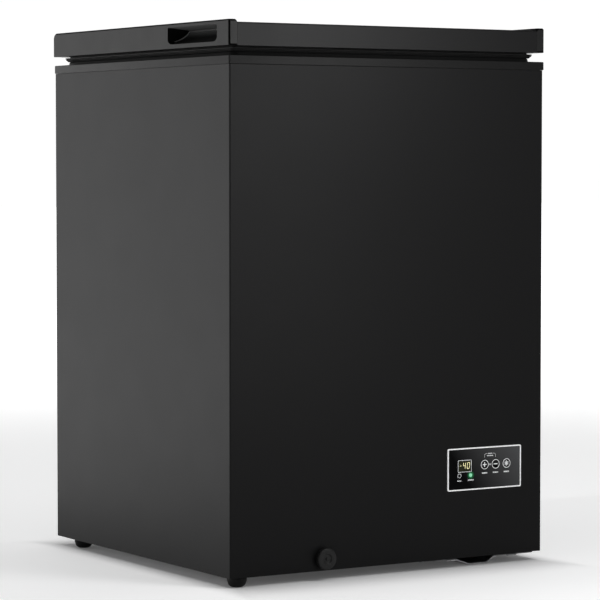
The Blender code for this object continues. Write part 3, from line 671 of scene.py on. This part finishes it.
def ring2d(cx, cz, radius, width, low, high, bm, sides=40):
    loops = [circle(cx, cz, radius, sides), circle(cx, cz, radius - width, sides)]
    return skin([lift(loops[0], "Y", low), lift(loops[0], "Y", high), lift(loops[1], "Y", high),
                 lift(loops[1], "Y", low)], True, bm)


def dashRow(cx, cz, widths, height, low, high, bm, gap=0.55):
    # stands for a printed word: a row of short bars
    x = cx - (sum(widths) + gap * (len(widths) - 1)) / 2
    for width in widths:
        prism(rectLoop(x, x + width, cz - height / 2, cz + height / 2, 0.25, 2), "Y", low, high, bm)
        x += width + gap
    return bm


def sevenSegment(digit, cx, cz, width, height, stroke, low, high, bm):
    lit = {"0": "abcdef", "4": "bcfg", "-": "g"}[digit]
    w, h, lean = width / 2, height / 2, 0.12
    ends = {"a": ((-w, h), (w, h)), "b": ((w, h), (w, 0)), "c": ((w, 0), (w, -h)),
            "d": ((-w, -h), (w, -h)),
            "e": ((-w, 0), (-w, -h)), "f": ((-w, h), (-w, 0)), "g": ((-w, 0), (w, 0))}
    for name in lit:
        a, b = Vector(ends[name][0]), Vector(ends[name][1])
        along = (b - a).normalized()
        a, b = a + along * stroke * 0.62, b - along * stroke * 0.62
        across = Vector((-along.y, along.x)) * stroke / 2
        tip = along * stroke * 0.45
        points = [a - tip, a - across, b - across, b + tip, b + across, a + across]
        prism([(cx + p.x + lean * p.y, cz + p.y) for p in points], "Y", low, high, bm)
    return bm


def buildBezel():
    x0, x1, z0, z1, line = panel["x0"], panel["x1"], panel["z0"], panel["z1"], panel["line"]
    back, front = face + 1.5, face - 0.6
    rings = []
    for inset, y, radius in [(0, back, 2.5), (0, front + 0.5, 2.5), (0.5, front, 2.2),
                             (line - 0.5, front, 1.4), (line, front + 0.5, 1.2), (line, back, 1.2)]:
        rings.append(lift(rectLoop(x0 + inset, x1 - inset, z0 + inset, z1 - inset, radius, 5), "Y", y))
    addPiece("bezelLine", skin(rings, True), silver, "cabinet", ["control_bezel"], sharp=60)


def buildFascia():
    x0, x1, z0, z1, line = panel["x0"], panel["x1"], panel["z0"], panel["z1"], panel["line"] + 0.3
    outline = rectLoop(x0 + line, x1 - line, z0 + line, z1 - line, 1.2)
    piece = newObject("glossFasciaSheet", prism(outline, "Y", face, face + 1.5), fascia)
    wx0, wx1, wz0, wz1 = panel["window"]
    window = rectLoop(wx0 - 0.4, wx1 + 0.4, wz0 - 0.4, wz1 + 0.4, 0.6)
    holes = prism(window, "Y", face - 3, face + 3)
    for x in buttonX.values():
        turned([(8.45, face - 3), (8.45, face + 3)], "Y", (x, panel["buttonZ"]), 48, bm=holes)
    for x in panel["ledX"]:
        turned([(3.2, face - 3), (3.2, face + 3)], "Y", (x, panel["ledZ"]), 32, bm=holes)
    cutWith(piece, holes)
    piece.data.shade_smooth()
    finishPiece(piece, "cabinet", ["control_fascia"], edges=0.15, segments=2)


def buildPrint():
    low, high = face - panel["ink"], face + 0.05
    bm = bmesh.new()
    wx0, wx1, wz0, wz1 = panel["window"]
    frameLine = rectLoop(wx0 - 0.9, wx1 + 0.9, wz0 - 0.9, wz1 + 0.9, 1.0, 3)
    strip(frameLine, 0.75, "Y", low, high, bm, loop=True)
    leftLed, rightLed = panel["ledX"]
    ring2d(leftLed, panel["ledZ"], 3.6, 1.2, low, high, bm)
    dashRow(leftLed, 136.4, (1.3, 1.5, 1.3, 1.4), 1.9, low, high, bm)
    dashRow(rightLed, 136.8, (1.5, 1.0, 1.5, 1.5, 1.2, 1.3), 1.9, low, high, bm)
    left, right, last = buttonX.values()
    tempDashes = (1.5, 1.5, 2.1, 1.6, 1.2)
    for x, widths in ((left, tempDashes), (right, tempDashes), (last, (1.6, 1.5, 2.0, 1.4, 1.2))):
        dashRow(x, 146.3, widths, 2.1, low, high, bm)
    top = 176.6
    for end, start in ((left, 180), (right, 90)):
        bend = arc(end + (3 if end == left else -3), top - 3, 3, start, start - 90, 4)
        if end == left:
            line = [(end, 170.6)] + bend + [(end + 5.0, top)]
        else:
            line = [(end - 5.0, top)] + bend + [(end, 170.6)]
        strip(line, 0.4, "Y", low, high, bm)
    dashRow((left + right) / 2, top, (1.3, 1.2, 1.4, 1.1, 1.3), 1.5, low, high, bm, 0.45)
    dashRow((left + right) / 2, 173.2, (1.2, 1.4, 1.2, 1.0, 1.3, 1.2, 1.4), 1.5, low, high, bm, 0.45)
    strip([(184.3, 159.5), (187.5, 159.5)], 0.9, "Y", low, high, bm)
    prism([(184.4, 159.5), (186.0, 161.2), (186.0, 157.8)], "Y", low + 0.01, high, bm)
    addPiece("panelPrint", bm, ink, "cabinet", sharp=30)


def buildButtons():
    for node, x in buttonX.items():
        z = panel["buttonZ"]
        low, high = boxOf(node)
        front = low.y
        profile = [(2.0, front + 0.5), (5.2, front + 0.35), (5.9, front + 0.12), (6.6, front),
                   (7.7, front + 0.08), (8.1, front + 0.5), (8.15, front + 4.0), (3.0, front + 4.0),
                   (3.0, high.y)]
        body = node.replace("button_", "") + "_button"
        name = buttonNames[node]
        addPiece(name, turned(profile, "Y", (x, z), 48), gloss, body, [node], sharp=40)
        bm = bmesh.new()
        ring2d(x, z, panel["ringOuter"] - 0.2, panel["ringLine"], front - 0.05, front + 0.4, bm, 48)
        back, lip = front + 0.75, front + 0.28
        size, stroke = 3.7, panel["iconLine"]
        if node == "button_power":
            for i in range(3):
                a = radians(90 + 60 * i)
                along = Vector((cos(a), sin(a)))
                strip([tuple(Vector((x, z)) - along * 4.2), tuple(Vector((x, z)) + along * 4.2)], 1.0, "Y",
                      lip + 0.012 * i, back, bm)
            for i in range(6):
                a = radians(90 + 60 * i)
                for turn in (-1, 1):
                    root = Vector((x + 2.3 * cos(a), z + 2.3 * sin(a)))
                    b = a + turn * radians(48)
                    tip = root + Vector((cos(b), sin(b))) * 1.7
                    strip([tuple(root), tuple(tip)], 0.6, "Y", lip + 0.04, back, bm)
        else:
            strip([(x - size, z), (x + size, z)], stroke, "Y", lip, back, bm)
            if node == "button_temp_up":
                strip([(x, z - size), (x, z + size)], stroke, "Y", lip + 0.01, back, bm)
        addPiece(name + "Icon", bm, ink, body, sharp=30)


def buildDisplay():
    low, high = boxOf("display_module")
    bm = bmesh.new()
    front = low.y - 0.08
    cz = (low.z + high.z) / 2 + 0.6
    for digit, x, width in (("-", 129.8, 3.2), ("4", 136.8, 3.9), ("0", 144.5, 4.1)):
        sevenSegment(digit, x, cz, width, 9.4, 0.62, front, low.y + 0.3, bm)
    addPiece("displayDigits", bm, digitGlow, "cabinet", sharp=30)
    leftLed, rightLed = panel["ledX"]
    for node, x, finish, slot in (("lock_indicator", leftLed, gloss, "lock_lens"),
                                  ("run_indicator", rightLed, runGlow, "run_lens")):
        start = boxOf(node)
        dome = [(0.5, face - 0.75)] + [(2.9 * sin(a), face - 0.75 + 0.75 * (1 - cos(a)))
                                        for a in (0.5, 0.9, 1.25, pi / 2)]
        profile = dome + [(2.9, start[1].y)]
        addPiece(node.replace("_indicator", "Lens"), turned(profile, "Y", (x, panel["ledZ"]), 28), finish,
                 "cabinet", [node], sharp=50)


print("control panel")
buildBezel()
buildFascia()
buildPrint()
buildButtons()
buildDisplay()


# drain plug and feet

def buildDrainPlug():
    tail = boxOf("drain_plug_outer")[1].y
    nose, back = -294.0, -285.1
    profile = [(1.2, nose + 0.2), (2.0, nose + 0.5), (2.3, nose + 1.2), (2.6, nose + 2.0), (6.6, nose + 2.2),
               (7.4, nose + 1.7), (7.8, nose + 0.5), (8.4, nose + 0.1), (10.5, nose), (14.6, nose + 0.15),
               (15.7, nose + 0.6), (16.15, nose + 1.5), (16.25, nose + 3), (16.25, back - 0.4),
               (15.9, back), (8.1, back), (8.1, back + 14), (5.0, tail)]
    addPiece("drainCap", turned(profile, "Y", (-122.0, 34.0), 56), capPlastic, "outer_drain_plug",
             ["drain_plug_outer"], sharp=42)


def buildFeet():
    for node, name in (("foot_front_left", "frontFoot"), ("foot_rear_left", "rearFoot")):
        low, high = boxOf(node)
        centre = ((low.x + high.x) / 2, (low.y + high.y) / 2)
        profile = [(6.2, 0.0), (7.6, 0.15), (9.4, 0.8), (11.2, 2.0), (12.7, 3.8), (13.7, 6.0), (14.4, 8.5),
                   (14.4, 9.2), (15.0, 9.8), (15.0, 13.6), (14.6, high.z)]
        addPiece(name, turned(profile, "Z", centre, 40), plastic, "cabinet",
                 [node], sharp=45)


print("drain plug and feet")
buildDrainPlug()
buildFeet()

# base plate, vent grille and rear

def hexBolt(x, y, low, high, across, bm, washer=0.0):
    top = [(across * 0.42, low), (across * 0.5, low + 0.5), (across * 0.5, high)]
    turned(top, "Z", (x, y), 6, bm=bm)
    if washer:
        turned([(washer, high), (washer, high + 1.0)], "Z", (x, y), 20, bm=bm)


def buildBase():
    low = boxOf("compressor_base_plate")[0]
    front = low.y - 1.6
    bm = bmesh.new()
    hem = {"width": 1.9, "height": 9.1}
    bend = [(119.5, 9.1), (137.4, 9.1), (161.2, 0.95), (194.8, 0.95), (208.8, 9.1), (213.0, 9.1)]
    strip(bend, hem["width"], "Y", front, low.y + 3, bm)
    strip([(236, hem["height"]), (254, hem["height"])], hem["width"], "Y", front, low.y + 3, bm)
    addPiece("basePlateHem", bm, zinc, "cabinet", edges=0.35, segments=2)
    bm = bmesh.new()
    for x in (112.0, 244.0):
        for y in (55.0, 165.0):
            hexBolt(x, y, 4.6, 8.6, 11.0, bm, 8.0)
    for x in (90.0, 268.0):
        for y in (-235.0, 0.0, 235.0):
            hexBolt(x, y, 6.4, 8.8, 8.0, bm, 6.0)
    addPiece("baseBolts", bm, zinc, "cabinet", sharp=30)
    bm = bmesh.new()
    for x in (112.0, 244.0):
        for y in (55.0, 165.0):
            turned([(2.6, 12), (2.6, 31.5), (2.0, 32.2)], "Z", (x, y), 12, bm=bm)
            turned([(5.5, 26.6), (5.5, 30.5), (4.8, 31.0)], "Z", (x, y), 6, bm=bm)
    addPiece("mountStuds", bm, zinc, "cabinet", sharp=30)


def panHead(axis, base, centre, radius, out, bm):
    # rounded screw head with a cross recess
    profile = [(radius, base), (radius, base + out * 0.7), (radius * 0.86, base + out * 1.5),
               (radius * 0.55, base + out * 2.0), (radius * 0.3, base + out * 2.1),
               (radius * 0.22, base + out * 0.9)]
    turned(profile, axis, centre, 18, bm=bm)


def buildGrille():
    low, high = boxOf("vent_grille")
    grille = {"slats": 9, "first": 54.0, "pitch": 12.0, "open": 6.0, "y0": -34.0, "y1": 154.0}
    plate = prism(rectLoop(low.y, high.y, low.z, high.z, 6.0, 6), "X", low.x, high.x)
    piece = newObject("ventGrille", plate, plastic)
    slots = bmesh.new()
    for row in range(grille["slats"]):
        z = grille["first"] + grille["pitch"] * row
        slot = rectLoop(grille["y0"], grille["y1"], z, z + grille["open"], 2.4, 4)
        prism(slot, "X", low.x - 3, high.x + 3, slots)
    cutWith(piece, slots)
    piece.data.shade_smooth()
    finishPiece(piece, "cabinet", ["vent_grille"], edges=0.5, segments=2)
    bm = bmesh.new()
    for row in range(grille["slats"]):
        z = grille["first"] + grille["pitch"] * row
        hood = [(low.x + 0.6, z + 6.4), (high.x + 0.5, z + 6.6), (high.x + 2.2, z + 5.4),
                (high.x + 3.0, z + 2.2), (high.x + 2.1, z + 2.4), (high.x + 1.4, z + 4.6),
                (low.x + 0.6, z + 5.3)]
        prism(hood, "Y", grille["y0"] + 1, grille["y1"] - 1, bm)
    addPiece("grilleLouvres", bm, plastic, "cabinet", edges=0.3, segments=2)
    bm = bmesh.new()
    for y in (low.y + 6, high.y - 6):
        for z in (low.z + 6, high.z - 6):
            panHead("X", high.x, (y, z), 3.4, 0.9, bm)
    addPiece("grilleScrews", bm, hingeMetal, "cabinet", sharp=40)


def buildRear():
    rear = boxOf("rear_panel")[1].y
    bm = bmesh.new()
    spots = [(-278, z) for z in (30, 200, 400, 600, 765)] + [(278, z) for z in (222, 400, 600, 765)]
    spots += [(-90, 24), (40, 24), (-90, 771), (90, 771)]
    spots += [(82, 24), (276, 24), (82, 202), (276, 202), (179, 202)]
    for x, z in spots:
        panHead("Y", rear, (x, z), 3.6, 0.9, bm)
    for x in (-170, 170):
        for dx, z in ((-17, 704), (17, 704), (-17, 784), (17, 784)):
            panHead("Y", rear + 1.8, (x + dx, z), 3.8, 0.9, bm)
    addPiece("rearScrews", bm, hingeMetal, "cabinet", sharp=40)
    bm = bmesh.new()
    cap = [(22, rear), (22, rear + 0.8), (20.5, rear + 1.6), (12, rear + 1.9), (11, rear + 1.2),
           (3, rear + 1.2)]
    for x, z in ((-95, 560), (95, 560)):
        turned(cap, "Y", (x, z), 40, bm=bm)
    addPiece("foamFillCaps", bm, capPlastic, "cabinet", sharp=40)
    bm = bmesh.new()
    for x in (-215, 215):
        rings = []
        for inset, out in ((0, 0.0), (1.5, 0.9), (4, 1.5), (6, 1.7)):
            loop = rectLoop(x - 12 + inset, x + 12 - inset, 245 + inset, 650 - inset, 11.9 - inset, 6)
            rings.append(lift(loop, "Y", rear + out))
        skin(rings, bm=bm)
    addPiece("rearSwages", bm, paint, "cabinet", sharp=50)


print("base, grille and rear")
buildBase()
buildGrille()
buildRear()


# hanging baskets

basket = {"lipIn": 205.6, "lipOut": 227.5, "lipFoot": 772.4, "lipTop": 783.5, "longRim": 768.0,
          "ledge": 704.0, "slotWide": 22.0, "endSlot": 13.0, "edge": 0.7}


def lowerRim(x0, x1, halfY, bm):
    # takes the long sides down below the end lips, with a slope at each end
    rim, top = basket["longRim"], 800.0
    outline = [(-halfY + 34, rim), (halfY - 34, rim), (halfY - 30, rim + 1), (halfY - 16, 777),
               (halfY - 14, top), (14 - halfY, top), (16 - halfY, 777), (30 - halfY, rim + 1)]
    return prism(outline, "X", x0 - 8, x1 + 8, bm)


def buildBasket(side):
    node = "basket_left" if side < 0 else "basket_right"
    low, high = boxOf(node)
    x0, x1, halfY, base = low.x, high.x, 209.5, low.z
    middle = (x0 + x1) / 2

    def ring(inset, radius, z):
        return lift(rectLoop(x0 + inset, x1 - inset, inset - halfY, halfY - inset, radius, 7), "Z", z)

    ledge = basket["ledge"]
    rings = [ring(12, 8, base), ring(9, 10, base + 0.9), ring(7, 11, base + 4), ring(5.6, 12.5, ledge - 2),
             ring(3.9, 13.5, ledge), ring(3.5, 14, 758.5), ring(0.9, 15.5, 760.5), ring(0, 16, 762),
             ring(0, 16, 775), ring(0.8, 15.5, 776), ring(3.8, 13.5, 776), ring(4.8, 13, 775),
             ring(5.6, 12.5, 763.5), ring(6.2, 12, ledge), ring(7.9, 11, ledge - 3), ring(9.3, 10, base + 6), ring(13, 8, base + 2.4)]
    piece = newObject("hangingBasketLeft" if side < 0 else "hangingBasketRight", skin(rings), white)
    cutWith(piece, lowerRim(x0, x1, halfY, bmesh.new()))
    lips = bmesh.new()
    for end in (-1, 1):
        sections = []
        for x, inset in ((x0 + 7, 3.6), (x0 + 8, 1.6), (x0 + 10.5, 0.3), (x0 + 12, 0),
                         (x1 - 12, 0), (x1 - 10.5, 0.3), (x1 - 8, 1.6), (x1 - 7, 3.6)):
            near, far = sorted((end * (basket["lipIn"] + inset), end * (basket["lipOut"] - inset)))
            foot, top = basket["lipFoot"] + inset, basket["lipTop"] - inset
            sections.append(lift(rectLoop(near, far, foot, top, 3.9 - inset, 5), "X", x))
        skin(sections, bm=lips)
    cutWith(piece, lips, "UNION")

    slots = bmesh.new()
    wide = basket["slotWide"]
    upperSlots, lowerSlots = (-161, -115, -69, 69, 115, 161), (-168, -112, -56, 0, 56, 112, 168)
    for z0, z1, places in ((713, 751, upperSlots), (656, 696, lowerSlots)):
        for y in places:
            slot = rectLoop(y - wide / 2, y + wide / 2, z0, z1, wide / 2 - 0.6, 6)
            prism(slot, "X", x0 - 8, x1 + 8, slots)
    # the wide window amid each long side
    prism(rectLoop(-46, 46, 713, 751, 4.0, 4), "X", x0 - 8, x1 + 8, slots)
    for row in range(7):
        for column in range(4):
            cx, cy = middle + (column - 1.5) * 42, (row - 3) * 54
            prism(rectLoop(cx - 14, cx + 14, cy - 21, cy + 21, 9, 5), "Z", base - 5, base + 5.2, slots)
    cutWith(piece, slots)
    slots = bmesh.new()
    narrow = basket["endSlot"]
    for z0, z1 in ((713, 755), (656, 696)):
        for column in range(5):
            x = middle + (column - 2) * 34
            slot = rectLoop(x - narrow / 2, x + narrow / 2, z0, z1, narrow / 2 - 0.4, 5)
            prism(slot, "Y", -halfY - 8, halfY + 8, slots)
    cutWith(piece, slots)
    piece.data.shade_smooth()
    body = "left_basket" if side < 0 else "right_basket"
    finishPiece(piece, body, [node], edges=basket["edge"], segments=2)


print("baskets")
buildBasket(-1)
buildBasket(1)


# floor, light and camera

# edgeGlow: direction away from the cabinet, where the glow starts and is full in metres, strength
studio = {"floor": (0.86, 0.86, 0.865), "underGlow": 0.05, "backGlow": 1.65,
          "edgeGlow": [((-1, 0, 0), 0.265, 0.325, 0.43), ((1, 0, 0), 0.265, 0.325, 0.41),
                       ((0, -1, 0), 0.25, 0.4, 0.38), ((0, 1, 0), 0.25, 0.36, 0.46)],
          "top": 0.66, "backLeft": 2.0, "backRight": 1.2, "backdrop": 1.02,
          "camera": (-2.3415, -3.7911, 0.6361), "pan": -31.819, "tilt": 2.895, "lens": 165.18}
# soft lights in front: place, target, size in metres, power in watts
softLights = {"upperFront": ((0.25, -1.0, 1.0), (-0.15, -0.28, 0.75), (0.3, 0.5), 3.4),
              "middleFront": ((0.2, -1.1, 0.55), (-0.2, -0.28, 0.6), (0.3, 0.7), 1.9),
              "edgeFront": ((0.02, -0.8, 0.75), (-0.25, -0.28, 0.7), (0.2, 0.6), 0.27)}


def ramp(tree, value, start, stop, low=0.0, high=1.0):
    node = tree.nodes.new("ShaderNodeMapRange")
    node.interpolation_type = "SMOOTHSTEP"
    for socket, number in (("From Min", start), ("From Max", stop), ("To Min", low), ("To Max", high)):
        node.inputs[socket].default_value = number
    tree.links.new(value, node.inputs["Value"])
    return node.outputs["Result"]


def combine(tree, operation, first, second):
    node = tree.nodes.new("ShaderNodeMath")
    node.operation = operation
    for socket, value in zip(node.inputs, (first, second)):
        if isinstance(value, (int, float)):
            socket.default_value = value
        else:
            tree.links.new(value, socket)
    return node.outputs[0]


def along(tree, vector, direction):
    node = tree.nodes.new("ShaderNodeVectorMath")
    node.operation = "DOT_PRODUCT"
    node.inputs[1].default_value = direction
    tree.links.new(vector, node.inputs[0])
    return node.outputs["Value"]


def buildFloor():
    bm = bmesh.new()
    corners = [(-30000, -30000), (30000, -30000), (30000, 30000), (-30000, 30000)]
    bm.faces.new([bm.verts.new((x, y, 0)) for x, y in corners])
    material, shader = newFinish("paleFloor", studio["floor"], 0.7, 0.0, 0.1)
    darker = tuple(c * 0.985 for c in studio["floor"])
    varyColor(material, shader, noise(material, 0.8, 2), darker, studio["floor"])
    tree = material.node_tree
    place = tree.nodes.new("ShaderNodeTexCoord").outputs["Object"]
    back = ramp(tree, along(tree, place, (-0.9, 0.43, 0)), 0.48, 1.2, 0.0, studio["backGlow"])
    distance = tree.nodes.new("ShaderNodeVectorMath")
    distance.operation = "LENGTH"
    tree.links.new(place, distance.inputs[0])
    far = ramp(tree, distance.outputs["Value"], 1.6, 4.5, 0.0, 0.5)
    # the floor glows as painted light; little glow under the cabinet and close beside it, a painted shadow that
    # adds to its soft shadow
    glow = combine(tree, "MAXIMUM", back, far)
    edges = studio["underGlow"]
    for direction, start, stop, strength in studio["edgeGlow"]:
        edge = ramp(tree, along(tree, place, direction), start, stop, 0.0, strength)
        edges = combine(tree, "MAXIMUM", edges, edge)
    glow = combine(tree, "ADD", glow, edges)
    shader.inputs["Emission Color"].default_value = (1, 1, 1, 1)
    tree.links.new(glow, shader.inputs["Emission Strength"])
    newObject("floor", bm, material)


def buildWorld():
    world = bpy.data.worlds.new("studio")
    bpy.context.scene.world = world
    world.use_nodes = True
    tree = world.node_tree
    light = tree.nodes["Background"]
    direction = tree.nodes.new("ShaderNodeTexCoord").outputs["Generated"]
    height = along(tree, direction, (0, 0, 1))
    top = ramp(tree, height, 0.7, 0.83, 0.0, studio["top"])
    low = ramp(tree, height, 0.36, 0.48, 1.0, 0.0)
    left = ramp(tree, along(tree, direction, (-0.643, 0.766, 0)), 0.48, 0.78, 0.0, studio["backLeft"])
    right = ramp(tree, along(tree, direction, (0.8, 0.6, 0)), 0.48, 0.78, 0.0, studio["backRight"])
    sides = combine(tree, "MULTIPLY", low, combine(tree, "MAXIMUM", left, right))
    tree.links.new(combine(tree, "ADD", top, sides), light.inputs["Strength"])
    light.inputs["Color"].default_value = (1, 1, 1, 1)
    plain = tree.nodes.new("ShaderNodeBackground")
    plain.inputs["Color"].default_value = (1, 1, 1, 1)
    plain.inputs["Strength"].default_value = studio["backdrop"]
    path = tree.nodes.new("ShaderNodeLightPath")
    mix = tree.nodes.new("ShaderNodeMixShader")
    tree.links.new(path.outputs["Is Camera Ray"], mix.inputs["Fac"])
    tree.links.new(light.outputs["Background"], mix.inputs[1])
    tree.links.new(plain.outputs["Background"], mix.inputs[2])
    tree.links.new(mix.outputs["Shader"], tree.nodes["World Output"].inputs["Surface"])


def addSoftLight(name, place, target, size, power):
    lamp = bpy.data.lights.new(name, "AREA")
    lamp.shape = "RECTANGLE"
    lamp.size, lamp.size_y = size
    lamp.energy = power
    box = bpy.data.objects.new(name, lamp)
    box.location = place
    box.rotation_euler = (Vector(target) - Vector(place)).to_track_quat("-Z", "Y").to_euler()
    box.visible_camera = False
    bpy.context.scene.collection.objects.link(box)


def buildCamera():
    lens = bpy.data.cameras.new("camera")
    lens.lens = studio["lens"]
    lens.sensor_width = 36
    lens.clip_end = 200
    camera = bpy.data.objects.new("camera", lens)
    camera.location = studio["camera"]
    camera.rotation_euler = (radians(90 - studio["tilt"]), 0, radians(studio["pan"]))
    bpy.context.scene.collection.objects.link(camera)
    bpy.context.scene.camera = camera


print("studio")
buildFloor()
buildWorld()
for name, setting in softLights.items():
    addSoftLight(name, *setting)
buildCamera()
bpy.context.scene.view_settings.view_transform = "Standard"
